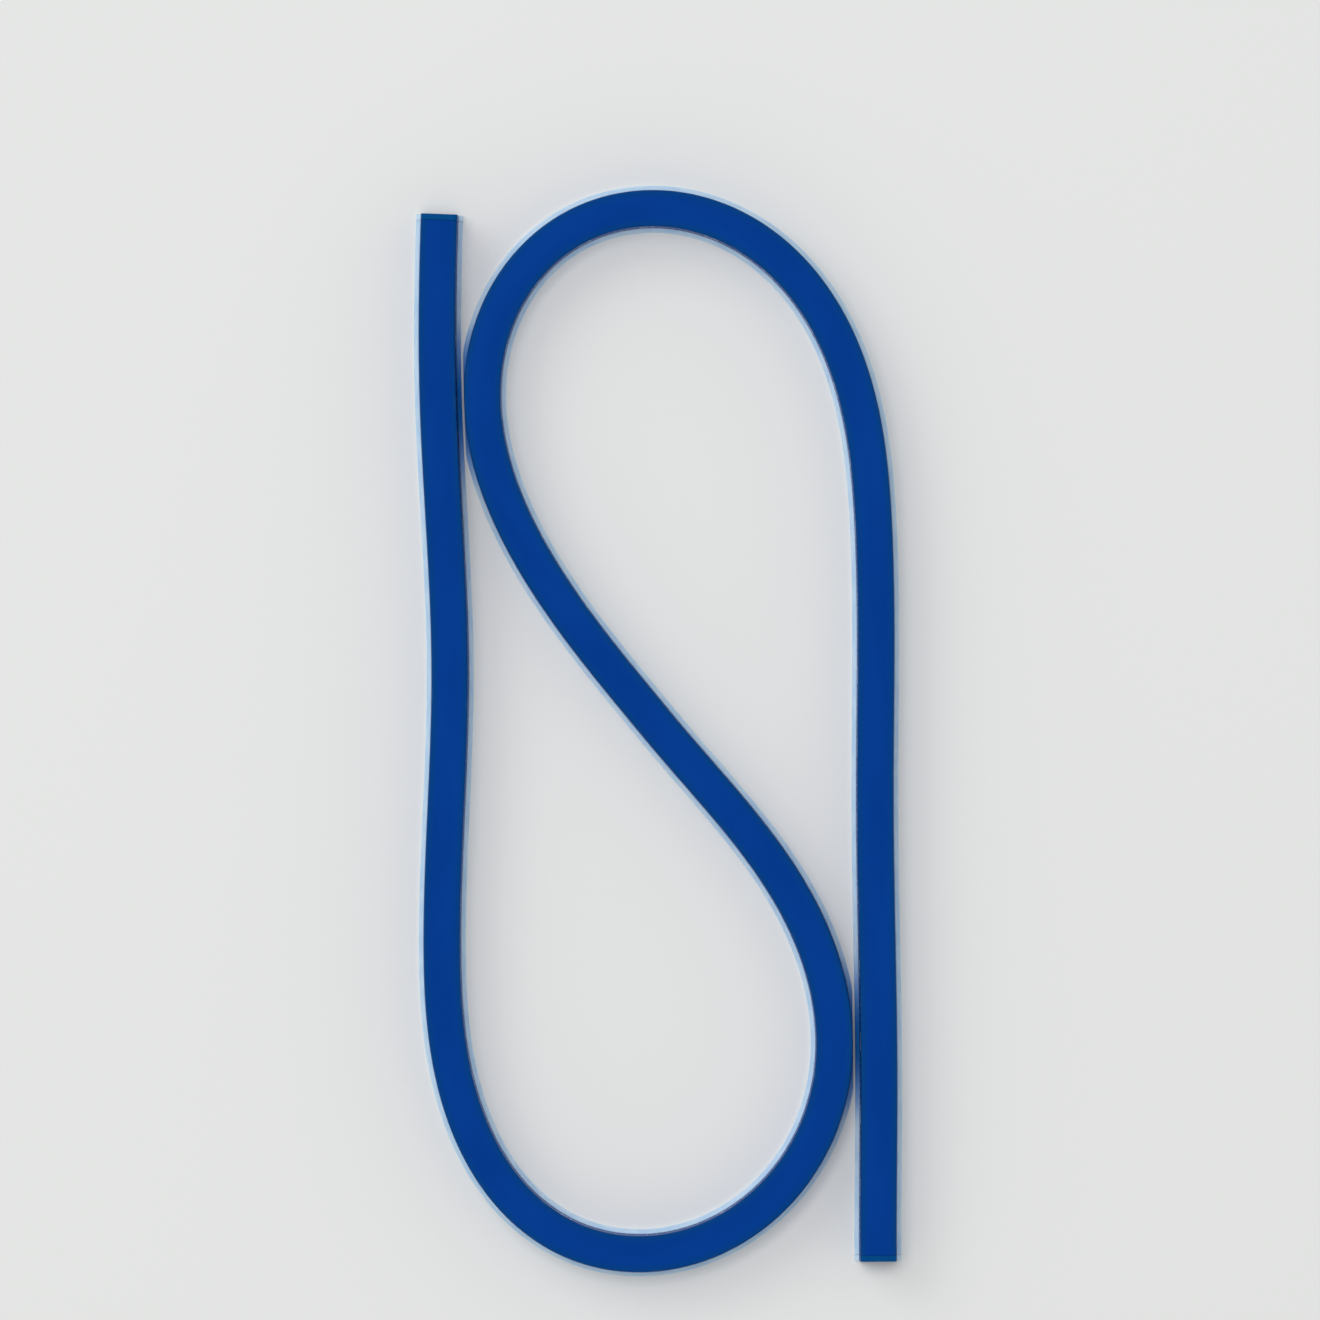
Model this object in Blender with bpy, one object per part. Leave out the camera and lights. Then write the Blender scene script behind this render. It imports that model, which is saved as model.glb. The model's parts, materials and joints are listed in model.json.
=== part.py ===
"""Flexible curve ruler, 500 mm long, lying flat on its base in a nested S.

The real ruler is one soft extruded sheath with a thin ruling lip along both edges of its base. A bar
of soft lead lies in the sheath's channel between two strips of spring steel, and a plug closes each end.
It bends anywhere across its width and stays where it is put. A rigid model can't bend, so the sheath
and the lead bar are divided into short lengths, called links, which turn on upright axes on the
centreline. The steel strips run the whole way.

Metres, +Z up. The base rests on Z = 0 and the origin is below the middle of the S.
"""
from math import ceil, degrees, radians, tan

import bmesh
import bpy
import numpy as np

MM = 0.001

# Driving sizes of the whole ruler
RULER_LENGTH = 500 * MM
TOP_WIDTH = 5.0 * MM
HEIGHT = 8.0 * MM

# Sheath
LIP_REACH = 0.7 * MM
LIP_PRESSED = 0.05 * MM
LIP_EDGE = 0.45 * MM
LIP_ROOT = 0.8 * MM
TOP_CHAMFER = 0.3 * MM
SIDE_WALL = 0.8 * MM
FLOOR_WALL = 0.9 * MM
ROOF_WALL = 0.9 * MM

# Steel strips, and the clearance round everything in the channel
STRIP_THICKNESS = 0.3 * MM
FIT_GAP = 0.15 * MM

# End plugs
PLUG_PLATE = 0.8 * MM
PLUG_SPIGOT = 4.0 * MM
SEAT_GAP = 0.3 * MM

# Gap between two links at their axis, and between a strand's lip and the lip of the bend beside it.
# The lips are soft, so the bend's lip is pressed back there.
LINK_GAP = 0.3 * MM
NEST_GAP = 0.3 * MM

# Shape of the S. It is drawn outwards from the middle of its diagonal, once for each half. The place
# shares count along a half, and the bend shares say how sharply the ruler turns there.
DIAGONAL_TILT = radians(-50.5)
PLACE_SHARES = (0.0, 0.12, 0.22, 0.32, 0.42, 0.5, 0.6, 0.75, 0.9, 1.0)
LOWER_BEND_SHARES = (-0.15, 0.41, 0.71, 0.8, 1.0, 0.56, 0.11, -0.11, 0.08, 0.03)
UPPER_BEND_SHARES = (-0.03, 0.29, 0.73, 1.0, 0.82, 0.53, 0.09, -0.04, 0.04, -0.05)
SWING_SHARES = (0.0, 0.0, 0.0, 0.0, 1.0, 1.0, 0.0, 0.0, 0.0, 0.0)
LOWER_TURN = radians(223)
UPPER_TURN = radians(221)
INNER_BEND_SHARE = 0.32
STRAND_SHARE = 0.6
WIDEST_SWING = radians(30)
HALF_STEPS = 400
SOLVER_STEPS = 40

# Links
HINGES_PER_HALF = 13
STRAND_HINGES = 2
STRAND_SWING = radians(25)
FACET_TURN = radians(9)
FEWEST_FACETS = 2

# Sizes that follow from those above
HALF_LENGTH = RULER_LENGTH / 2
TOP_HALF = TOP_WIDTH / 2
BASE_HALF = TOP_HALF + LIP_REACH
CHANNEL_HALF = TOP_HALF - SIDE_WALL
CHANNEL_TOP = HEIGHT - ROOF_WALL
STRIP_OUTER = CHANNEL_HALF - FIT_GAP
STRIP_INNER = STRIP_OUTER - STRIP_THICKNESS
CORE_HALF = STRIP_INNER - FIT_GAP
FILL_BOTTOM = FLOOR_WALL + FIT_GAP
FILL_TOP = CHANNEL_TOP - FIT_GAP
SHEATH_START = PLUG_PLATE + SEAT_GAP
FILL_START = PLUG_PLATE + PLUG_SPIGOT + SEAT_GAP
NEST_PITCH = BASE_HALF + NEST_GAP + LIP_PRESSED + TOP_HALF


def turned(shares, turn):
    """Heading gained at each step outwards along a half, for bend shares that add up to a turn."""
    along = np.linspace(0, 1, HALF_STEPS + 1)
    rate = np.interp(along, PLACE_SHARES, shares)
    gained = np.concatenate(([0], np.cumsum(rate[1:] + rate[:-1])))
    return gained * turn / gained[-1]


def half_spine(start_heading, shares, turn, swing):
    """Points and headings of one half, outwards from the middle of the diagonal, turning clockwise."""
    heading = start_heading - turned(shares, turn) - turned(SWING_SHARES, swing)
    middle = (heading[1:] + heading[:-1]) / 2
    stride = np.column_stack((np.cos(middle), np.sin(middle))) * HALF_LENGTH / HALF_STEPS
    return np.vstack(([0, 0], np.cumsum(stride, axis=0))), heading


def nested_half(start_heading, shares, turn, other):
    """The half whose strand just clears the other half's bend."""
    bend = other[: round(INNER_BEND_SHARE * HALF_STEPS)]
    inward, outward = WIDEST_SWING, -WIDEST_SWING
    for _ in range(SOLVER_STEPS):
        swing = (inward + outward) / 2
        points, heading = half_spine(start_heading, shares, turn, swing)
        strand = points[round(STRAND_SHARE * HALF_STEPS):]
        apart = np.linalg.norm(strand[:, None] - bend[None], axis=2).min()
        if apart < NEST_PITCH:
            inward = swing
        else:
            outward = swing
    return points, heading


def hinge_distances(heading):
    """Distances of one half's hinges from the middle of the diagonal.

    They are shared out half by length and half by turning, so that the bends get the short links.
    """
    along = np.linspace(0, 1, HALF_STEPS + 1)
    turning = np.concatenate(([0], np.cumsum(np.abs(np.diff(heading)))))
    measure = (along + turning / turning[-1]) / 2
    wanted = (np.arange(HINGES_PER_HALF) + 0.5) / (HINGES_PER_HALF + 0.5)
    return np.interp(wanted, measure, along) * HALF_LENGTH


class Spine:
    """Centreline of the ruler from its left end to its right end, with its hinges."""

    def __init__(self):
        lower = (DIAGONAL_TILT, LOWER_BEND_SHARES, LOWER_TURN)
        upper = (DIAGONAL_TILT + radians(180), UPPER_BEND_SHARES, UPPER_TURN)
        lower_points, lower_heading = nested_half(*lower, half_spine(*upper, 0)[0])
        upper_points, upper_heading = nested_half(*upper, half_spine(*lower, 0)[0])
        self.along = np.linspace(0, RULER_LENGTH, 2 * HALF_STEPS + 1)
        self.points = np.vstack((lower_points[::-1], upper_points[1:]))
        self.heading = np.concatenate((lower_heading[::-1] + radians(180), upper_heading[1:]))
        left, right = hinge_distances(lower_heading), hinge_distances(upper_heading)
        self.hinges = [*(HALF_LENGTH - left[::-1]), *(HALF_LENGTH + right)]
        self.ends = [0, *self.hinges, RULER_LENGTH]
        self.link_middles = [(a + b) / 2 for a, b in zip(self.ends, self.ends[1:])]
        self.centre_on_origin()

    def centre_on_origin(self):
        """Moves the S so that the origin is in the middle of its outline."""
        corners = [self.at(s, side, 0)[:2] for s in self.all_rings() for side in (-BASE_HALF, BASE_HALF)]
        self.points -= (np.min(corners, axis=0) + np.max(corners, axis=0)) / 2

    def heading_at(self, s):
        return np.interp(s, self.along, self.heading)

    def at(self, s, side, height):
        """World point at a distance along the ruler, a distance to the left of travel, and a height."""
        x, y = (np.interp(s, self.along, column) for column in self.points.T)
        h = self.heading_at(s)
        return np.array((x - side * np.sin(h), y + side * np.cos(h), height))

    def lip(self, s, side):
        """A corner's distance to the left of travel, less where a strand presses a bend's lip back."""
        if abs(side) < BASE_HALF:
            return side
        outwards = (self.along - HALF_LENGTH) * np.sign(HALF_LENGTH - s)
        strand = self.points[outwards > STRAND_SHARE * HALF_LENGTH]
        hand = np.sign(side)
        wall = self.at(s, hand * TOP_HALF, 0)[:2]
        room = np.linalg.norm(strand - wall, axis=1).min() - BASE_HALF - NEST_GAP
        return hand * (TOP_HALF + np.clip(room, LIP_PRESSED, LIP_REACH))

    def turn(self, hinge):
        """Angle between the links on both sides of a hinge at rest, counterclockwise."""
        before, after = self.link_middles[hinge:hinge + 2]
        return self.heading_at(after) - self.heading_at(before)

    def opening(self, hinge):
        """How far a hinge opens: a bend's to straight, a strand's outwards by the strand swing."""
        from_end = min(hinge, len(self.hinges) - 1 - hinge)
        return STRAND_SWING if from_end < STRAND_HINGES else abs(self.turn(hinge))

    def rings(self, link):
        """Places along one link where its section is drawn, from one end to the other."""
        start, end = self.ends[link:link + 2]
        turn = abs(self.heading_at(end) - self.heading_at(start))
        return list(np.linspace(start, end, max(FEWEST_FACETS, ceil(turn / FACET_TURN)) + 1))

    def all_rings(self):
        return sorted({s for link in range(len(self.link_middles)) for s in self.rings(link)})


def outline(*right_side):
    """Closed section outline from its right half, as (side, height), starting at the bottom centre."""
    return [*right_side, *((-side, height) for side, height in reversed(right_side) if side)]


SHEATH_OUTLINE = outline(
    (0, 0),
    (BASE_HALF, 0),
    (BASE_HALF, LIP_EDGE),
    (TOP_HALF, LIP_ROOT),
    (TOP_HALF, HEIGHT - TOP_CHAMFER),
    (TOP_HALF - TOP_CHAMFER, HEIGHT),
    (0, HEIGHT),
)
CHANNEL_OUTLINE = outline(
    (0, FLOOR_WALL),
    (CHANNEL_HALF, FLOOR_WALL),
    (CHANNEL_HALF, CHANNEL_TOP),
    (0, CHANNEL_TOP),
)
CORE_OUTLINE = outline((0, FILL_BOTTOM), (CORE_HALF, FILL_BOTTOM), (CORE_HALF, FILL_TOP), (0, FILL_TOP))
SPIGOT_OUTLINE = outline(
    (0, FILL_BOTTOM),
    (STRIP_OUTER, FILL_BOTTOM),
    (STRIP_OUTER, FILL_TOP),
    (0, FILL_TOP),
)


class Section:
    """Draws section loops along the ruler into one mesh, and joins them with faces."""

    def __init__(self, spine, origin):
        self.spine = spine
        self.origin = np.array(origin)
        self.mesh = bmesh.new()

    def loop(self, outline_points, s, pull=lambda side: 0):
        """A loop of corners round an outline. pull moves each corner along the ruler, straight on."""
        heading = self.spine.heading_at(s)
        ahead = np.array((np.cos(heading), np.sin(heading), 0))
        corners = []
        for side, height in outline_points:
            side = self.spine.lip(s, side)
            corner = self.spine.at(s, side, height) + pull(side) * ahead - self.origin
            corners.append(self.mesh.verts.new(corner))
        return corners

    def wall(self, loops):
        """Faces along the ruler between loops that follow each other."""
        for here, there in zip(loops, loops[1:]):
            for i, corner in enumerate(here):
                self.mesh.faces.new((here[i - 1], corner, there[i], there[i - 1]))

    def end_faces(self, outer, inner=()):
        """Two flat faces, one on each side of the centreline, closing a loop or joining two loops."""
        for half in (0, 1):
            around = [self.half_loop(corners, half) for corners in (outer, inner) if corners]
            self.mesh.faces.new(around[0] + around[1][::-1] if inner else around[0])

    @staticmethod
    def half_loop(corners, half):
        top = len(corners) // 2
        return (corners[: top + 1], corners[top:] + corners[:1])[half]

    def finish(self, name, material, parent):
        """Makes the drawn mesh one named object, on its parent's axis."""
        bmesh.ops.recalc_face_normals(self.mesh, faces=self.mesh.faces)
        data = bpy.data.meshes.new(name)
        self.mesh.to_mesh(data)
        self.mesh.free()
        data.shade_smooth()
        data.set_sharp_from_angle(angle=radians(30))
        data.materials.append(material)
        piece = bpy.data.objects.new(name, data)
        piece.parent = parent
        bpy.context.scene.collection.objects.link(piece)
        return piece


def plastic_blue(name):
    """Soft cobalt blue plastic with a satin surface."""
    return surface(name, (0.001, 0.04, 0.28), roughness=0.38, metallic=0.0)


def surface(name, colour, roughness, metallic):
    material = bpy.data.materials.new(name)
    material.use_nodes = True
    shader = material.node_tree.nodes["Principled BSDF"]
    shader.inputs["Base Color"].default_value = (*colour, 1)
    shader.inputs["Roughness"].default_value = roughness
    shader.inputs["Metallic"].default_value = metallic
    return material


def face_pull(spine, hinge, towards):
    """How far each corner of a link's end face stands back from the hinge's axis.

    The face is parallel to its neighbour's at the end of the hinge's travel, so on the side that
    closes it slopes back by half that angle. That is the outside of the S, to the right of travel in
    the lower half and to the left in the upper one.
    """
    outside = -1 if hinge < HINGES_PER_HALF else 1
    slope = tan(spine.opening(hinge) / 2)
    return lambda side: towards * (LINK_GAP / 2 + slope * max(0, side * outside))


def draw_link(section, link, section_outline, end_inset):
    """Loops of one link, from its left end to its right end, with its end faces sloped back."""
    spine = section.spine
    last = len(spine.hinges)
    places = spine.rings(link)
    if link == 0:
        left = section.loop(section_outline, end_inset)
    else:
        left = section.loop(section_outline, places[0], face_pull(spine, link - 1, 1))
    if link == last:
        right = section.loop(section_outline, RULER_LENGTH - end_inset)
    else:
        right = section.loop(section_outline, places[-1], face_pull(spine, link, -1))
    return [left, *(section.loop(section_outline, s) for s in places[1:-1]), right]


def sheath_link(spine, link, hinge, material):
    """One length of the sheath, with the channel running through it."""
    section = Section(spine, hinge.matrix_world.translation)
    outside = draw_link(section, link, SHEATH_OUTLINE, SHEATH_START)
    inside = draw_link(section, link, CHANNEL_OUTLINE, SHEATH_START)
    section.wall(outside)
    section.wall(inside)
    section.end_faces(outside[0], inside[0])
    section.end_faces(outside[-1], inside[-1])
    return section.finish(f"sheath_link_{link + 1:02d}", material, hinge)


def core_link(spine, link, hinge, material):
    """One length of the lead bar in the middle of the channel."""
    section = Section(spine, hinge.matrix_world.translation)
    bar = draw_link(section, link, CORE_OUTLINE, FILL_START)
    section.wall(bar)
    section.end_faces(bar[0])
    section.end_faces(bar[-1])
    return section.finish(f"core_link_{link + 1:02d}", material, hinge)


def steel_strip(spine, name, hand, hinge, material):
    """A strip of spring steel on one side of the lead bar, the whole length of the channel."""
    section = Section(spine, hinge.matrix_world.translation)
    edges = [(hand * side, height) for side, height in (
        (STRIP_INNER, FILL_BOTTOM),
        (STRIP_OUTER, FILL_BOTTOM),
        (STRIP_OUTER, FILL_TOP),
        (STRIP_INNER, FILL_TOP),
    )]
    start, end = FILL_START, RULER_LENGTH - FILL_START
    places = [start, *(s for s in spine.all_rings() if start < s < end), end]
    strip = [section.loop(edges, s) for s in places]
    section.wall(strip)
    section.mesh.faces.new(strip[0])
    section.mesh.faces.new(strip[-1])
    return section.finish(name, material, hinge)


def end_plug(spine, name, at_left, hinge, material):
    """A plug: a plate over the sheath's end and a spigot that fills the channel's mouth."""
    section = Section(spine, hinge.matrix_world.translation)

    def loop(points, inset):
        return section.loop(points, inset if at_left else RULER_LENGTH - inset)

    face, back = loop(SHEATH_OUTLINE, 0), loop(SHEATH_OUTLINE, PLUG_PLATE)
    root, tip = loop(SPIGOT_OUTLINE, PLUG_PLATE), loop(SPIGOT_OUTLINE, PLUG_PLATE + PLUG_SPIGOT)
    section.wall([face, back])
    section.wall([root, tip])
    section.end_faces(face)
    section.end_faces(back, root)
    section.end_faces(tip)
    return section.finish(name, material, hinge)


def add_hinge(spine, name, s, parent):
    """An empty on a hinge's axis, carried by the hinge before it."""
    axis = bpy.data.objects.new(name, None)
    bpy.context.scene.collection.objects.link(axis)
    place = spine.at(s, 0, 0)
    axis.location = place - np.array(parent.matrix_world.translation) if parent else place
    axis.parent = parent
    bpy.context.view_layer.update()
    return axis


def hinge_chain(spine):
    """The empty that carries each link, found outwards from the middle link."""
    root = add_hinge(spine, "middle", HALF_LENGTH, None)
    carriers = {HINGES_PER_HALF: root}
    for step in range(1, HINGES_PER_HALF + 1):
        for link, hinge, inner in (
            (HINGES_PER_HALF - step, HINGES_PER_HALF - step, HINGES_PER_HALF - step + 1),
            (HINGES_PER_HALF + step, HINGES_PER_HALF + step - 1, HINGES_PER_HALF + step - 1),
        ):
            name = f"bend_{hinge + 1:02d}"
            carriers[link] = add_hinge(spine, name, spine.hinges[hinge], carriers[inner])
    return carriers


def clear_scene():
    for thing in list(bpy.data.objects):
        bpy.data.objects.remove(thing, do_unlink=True)


def main():
    clear_scene()
    spine = Spine()
    carriers = hinge_chain(spine)
    sheath = plastic_blue("sheath_plastic")
    plug = plastic_blue("plug_plastic")
    lead = surface("lead", (0.16, 0.16, 0.17), roughness=0.6, metallic=1.0)
    steel = surface("spring_steel", (0.33, 0.35, 0.38), roughness=0.3, metallic=1.0)
    last = len(spine.hinges)
    for link in range(last + 1):
        sheath_link(spine, link, carriers[link], sheath)
        core_link(spine, link, carriers[link], lead)
    middle = carriers[HINGES_PER_HALF]
    steel_strip(spine, "steel_strip_left", 1, middle, steel)
    steel_strip(spine, "steel_strip_right", -1, middle, steel)
    end_plug(spine, "end_plug_left", True, carriers[0], plug)
    end_plug(spine, "end_plug_right", False, carriers[last], plug)
    print("middle at {:.6f} {:.6f}".format(*spine.at(HALF_LENGTH, 0, 0)))
    for hinge, s in enumerate(spine.hinges):
        x, y, _ = spine.at(s, 0, 0)
        turn, travel = degrees(spine.turn(hinge)), degrees(spine.opening(hinge))
        print(f"bend_{hinge + 1:02d} at {x:.6f} {y:.6f}, turned {turn:.2f}, opens {travel:.2f} degrees")


main()
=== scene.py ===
# %% [markdown]
# A flexible curve ruler, dressed for its portrait. The real one is a single soft vinyl strip with a lead
# bar and two strips of spring steel inside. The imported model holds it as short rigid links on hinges,
# because rigid links are what a motion solver can turn. This file reads that model as a fixed frame and
# makes what the eye sees: a smooth sheath, the metal inside it, the two end plugs, their materials, and
# a plain studio round them.
#
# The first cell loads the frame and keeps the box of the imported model, to compare sizes at the end.

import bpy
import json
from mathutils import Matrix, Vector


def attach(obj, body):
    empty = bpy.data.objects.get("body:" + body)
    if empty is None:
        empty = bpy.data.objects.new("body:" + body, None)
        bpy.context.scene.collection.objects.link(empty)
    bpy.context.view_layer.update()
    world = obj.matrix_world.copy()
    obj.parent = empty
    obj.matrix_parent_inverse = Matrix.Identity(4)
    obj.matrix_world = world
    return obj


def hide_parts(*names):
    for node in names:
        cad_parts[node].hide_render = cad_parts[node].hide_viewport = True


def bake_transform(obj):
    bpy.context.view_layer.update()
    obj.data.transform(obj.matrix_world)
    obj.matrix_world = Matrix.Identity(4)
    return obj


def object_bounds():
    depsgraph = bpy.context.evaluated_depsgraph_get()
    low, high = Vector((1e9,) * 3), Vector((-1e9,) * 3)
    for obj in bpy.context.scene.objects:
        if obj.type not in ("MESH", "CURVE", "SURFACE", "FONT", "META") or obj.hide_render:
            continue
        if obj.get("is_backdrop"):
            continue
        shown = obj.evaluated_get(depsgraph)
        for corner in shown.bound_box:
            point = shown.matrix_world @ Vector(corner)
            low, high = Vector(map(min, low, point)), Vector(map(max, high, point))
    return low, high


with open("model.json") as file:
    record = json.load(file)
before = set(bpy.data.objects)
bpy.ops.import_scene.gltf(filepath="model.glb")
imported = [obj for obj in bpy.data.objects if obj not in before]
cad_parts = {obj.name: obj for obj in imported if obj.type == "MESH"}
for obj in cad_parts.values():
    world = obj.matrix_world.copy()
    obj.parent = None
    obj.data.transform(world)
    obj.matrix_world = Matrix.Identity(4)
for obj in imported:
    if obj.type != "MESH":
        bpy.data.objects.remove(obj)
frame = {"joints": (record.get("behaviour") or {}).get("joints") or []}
cad_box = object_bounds()
print("corners of the packed model:", *(tuple(round(c, 5) for c in corner) for corner in cad_box))

# %% Modules
import json
from math import ceil, cos, pi, radians, sin

import bmesh
import bpy
import numpy as np
from mathutils import Vector

MM = 0.001


def in_scene(name, data):
    """An object with the given data, linked into the scene."""
    made = bpy.data.objects.new(name, data)
    bpy.context.scene.collection.objects.link(made)
    return made


# %% [markdown]
# The photograph looks straight down on the ruler, and the pale lines on both sides of the strands are
# equally wide, so the lens is long and far away. A short lens would show more of one wall than of the
# other. An orthographic camera would be simpler, but it keeps its scale when it is moved round the
# object, and a long lens frames the object from every side. The camera hangs at the height where the
# ruler's top face has the photograph's scale.

# %% Camera
PHOTO_SIDE = 1320
PHOTO_PIXELS_PER_METRE = 7331.0
ORIGIN_PIXEL = (657.95, 731.13)
LENS = 600
SENSOR = 36
HEIGHT = cad_box[1].z

photo_width = PHOTO_SIDE / PHOTO_PIXELS_PER_METRE
camera_data = bpy.data.cameras.new("camera")
camera_data.lens = LENS
camera_data.sensor_width = SENSOR
camera = in_scene("camera", camera_data)
camera.location = (
    (PHOTO_SIDE / 2 - ORIGIN_PIXEL[0]) / PHOTO_PIXELS_PER_METRE,
    (ORIGIN_PIXEL[1] - PHOTO_SIDE / 2) / PHOTO_PIXELS_PER_METRE,
    HEIGHT + photo_width * LENS / SENSOR,
)
bpy.context.scene.camera = camera
print(f"the frame is {photo_width / MM:.1f} mm wide, seen from {camera.location.z:.2f} m")

# %% [markdown]
# The S follows a rule instead of a traced line. Each half starts in the middle of the diagonal and turns
# clockwise on its way out. Place shares count along the half, and bend shares say how sharply it turns
# there, so the curvature changes gently, as it does in a bar of lead between strips of steel. A last
# small swing lays each strand just clear of the other half's bend.

# %% Shape of the S
RULER_LENGTH = 500 * MM
HALF_LENGTH = RULER_LENGTH / 2
DIAGONAL_TILT = radians(-50.5)
PLACE_SHARES = (0.0, 0.12, 0.22, 0.32, 0.42, 0.5, 0.6, 0.75, 0.9, 1.0)
LOWER_BEND_SHARES = (-0.15, 0.41, 0.71, 0.8, 1.0, 0.56, 0.11, -0.11, 0.08, 0.03)
UPPER_BEND_SHARES = (-0.03, 0.29, 0.73, 1.0, 0.82, 0.53, 0.09, -0.04, 0.04, -0.05)
SWING_SHARES = (0.0, 0.0, 0.0, 0.0, 1.0, 1.0, 0.0, 0.0, 0.0, 0.0)
LOWER_TURN = radians(223)
UPPER_TURN = radians(221)
HALF_STEPS = 400
STEP_SHARES = np.linspace(0, 1, HALF_STEPS + 1)


def turned(shares, turn):
    """Heading gained at each step outwards along a half."""
    rate = np.interp(STEP_SHARES, PLACE_SHARES, shares)
    gained = np.concatenate(([0], np.cumsum(rate[1:] + rate[:-1])))
    return gained * turn / gained[-1]


def half_spine(start_heading, shares, turn, swing):
    """Points and headings of one half, outwards from the middle of the diagonal."""
    heading = start_heading - turned(shares, turn) - turned(SWING_SHARES, swing)
    middle = (heading[1:] + heading[:-1]) / 2
    stride = np.column_stack((np.cos(middle), np.sin(middle))) * HALF_LENGTH / HALF_STEPS
    return np.vstack(([0, 0], np.cumsum(stride, axis=0))), heading


# %% [markdown]
# The swing is found by halving an interval: if the strand comes too near the bend it swings outwards,
# and if not, inwards. Forty halvings end far below a hair's breadth. The section's half widths say what
# too near means: the strand's lip, a gap, and what is left of the bend's lip where the strand presses it.

# %% Strands laid against the bends
TOP_HALF = 2.5 * MM
LIP_REACH = 0.7 * MM
LIP_PRESSED = 0.05 * MM
BASE_HALF = TOP_HALF + LIP_REACH
NEST_GAP = 0.3 * MM
INNER_BEND_SHARE = 0.32
STRAND_SHARE = 0.6
WIDEST_SWING = radians(30)
HALVINGS = 40


def nested_half(start_heading, shares, turn, other):
    """The half whose strand just clears the other half's bend."""
    bend = other[: round(INNER_BEND_SHARE * HALF_STEPS)]
    inward, outward = WIDEST_SWING, -WIDEST_SWING
    for _ in range(HALVINGS):
        swing = (inward + outward) / 2
        points, heading = half_spine(start_heading, shares, turn, swing)
        strand = points[round(STRAND_SHARE * HALF_STEPS):]
        apart = np.linalg.norm(strand[:, None] - bend[None], axis=2).min()
        if apart < BASE_HALF + NEST_GAP + LIP_PRESSED + TOP_HALF:
            inward = swing
        else:
            outward = swing
    return points, heading


lower = (DIAGONAL_TILT, LOWER_BEND_SHARES, LOWER_TURN)
upper = (DIAGONAL_TILT + pi, UPPER_BEND_SHARES, UPPER_TURN)
lower_points, lower_heading = nested_half(*lower, half_spine(*upper, 0)[0])
upper_points, upper_heading = nested_half(*upper, half_spine(*lower, 0)[0])
along = np.linspace(0, RULER_LENGTH, 2 * HALF_STEPS + 1)
points = np.vstack((lower_points[::-1], upper_points[1:]))
heading = np.concatenate((lower_heading[::-1] + pi, upper_heading[1:]))
print(f"{len(points)} points along {along[-1] / MM:.0f} mm")

# %% [markdown]
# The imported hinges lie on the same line, shared out half by length and half by turning. One link spans the
# middle of the diagonal, so the first hinge of each half lies half a spacing out. Laying the line on the
# hinges puts it in the frame's place, and what is left over shows that both follow the same rule.

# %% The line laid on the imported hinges
joints = sorted(frame["joints"], key=lambda joint: joint["name"])
packed = np.array([joint["pos_m"][:2] for joint in joints])
HINGES_PER_HALF = len(joints) // 2
FIRST_HINGE = 0.5


def hinge_distances(half_heading):
    """Distances of one half's hinges from the middle of the diagonal."""
    turning = np.concatenate(([0], np.cumsum(np.abs(np.diff(half_heading)))))
    measure = (STEP_SHARES + turning / turning[-1]) / 2
    wanted = (np.arange(HINGES_PER_HALF) + FIRST_HINGE) / (HINGES_PER_HALF + FIRST_HINGE)
    return np.interp(wanted, measure, STEP_SHARES) * HALF_LENGTH


def across(s):
    """The direction to the left of travel."""
    h = np.interp(s, along, heading)
    return np.array((-np.sin(h), np.cos(h), 0))


def at(s, side=0.0, height=0.0):
    """World point at a distance along the ruler, a distance to the left of travel, and a height."""
    x, y = (np.interp(s, along, column) for column in points.T)
    return np.array((x, y, height)) + side * across(s)


left, right = hinge_distances(lower_heading), hinge_distances(upper_heading)
hinges = [*(HALF_LENGTH - left[::-1]), *(HALF_LENGTH + right)]
points += (packed - [at(s)[:2] for s in hinges]).mean(axis=0)
missed = np.linalg.norm(packed - [at(s)[:2] for s in hinges], axis=1).max()
link_ends = [0, *hinges, along[-1]]
middles = [(a + b) / 2 for a, b in zip(link_ends, link_ends[1:])]
print(f"{len(hinges)} hinges, the farthest lies {missed / MM:.4f} mm from the line")

# %% [markdown]
# Where a strand lies against a bend, the bend's soft lip is pressed back to almost nothing. The line
# carries that as an attribute, so whatever is bent along the line can read it: the reach of the lip on
# the left and on the right, at every point. A second attribute says how much light gets into the lip,
# from 0 in a narrow gap, where it looks deep in the photograph, to 1 in the open, where it glows pale.
# The line itself becomes a mesh of edges, which Geometry Nodes can read as a curve.

# %% The line as an object that knows its lips
NARROW_GAP = 1.1 * MM
OPEN_GAP = 2.8 * MM
OTHER_STRETCH = 60 * MM


def wall_points(hand):
    """Points of the wall on one side, beside every point of the line."""
    return np.array([at(s, hand * TOP_HALF)[:2] for s in along])


def lip_reach(hand):
    """Reach of the lip on one side, at every point of the line."""
    walls = wall_points(hand)
    reach = np.empty(len(along))
    for here in (along <= HALF_LENGTH, along > HALF_LENGTH):
        outwards = (along - HALF_LENGTH) * (1 if here[0] else -1)
        strand = points[outwards > STRAND_SHARE * HALF_LENGTH]
        room = np.linalg.norm(walls[here][:, None] - strand[None], axis=2).min(axis=1)
        reach[here] = np.clip(room - BASE_HALF - NEST_GAP, LIP_PRESSED, LIP_REACH)
    return reach


def lip_light(hand):
    """Light in the lip on one side, from the gap to another stretch of the ruler."""
    apart = np.linalg.norm(wall_points(hand)[:, None] - points[None], axis=2)
    apart[np.abs(along[:, None] - along[None]) < OTHER_STRETCH] = np.inf
    gap = apart.min(axis=1) - TOP_HALF
    return np.clip((gap - NARROW_GAP) / (OPEN_GAP - NARROW_GAP), 0, 1)


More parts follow.
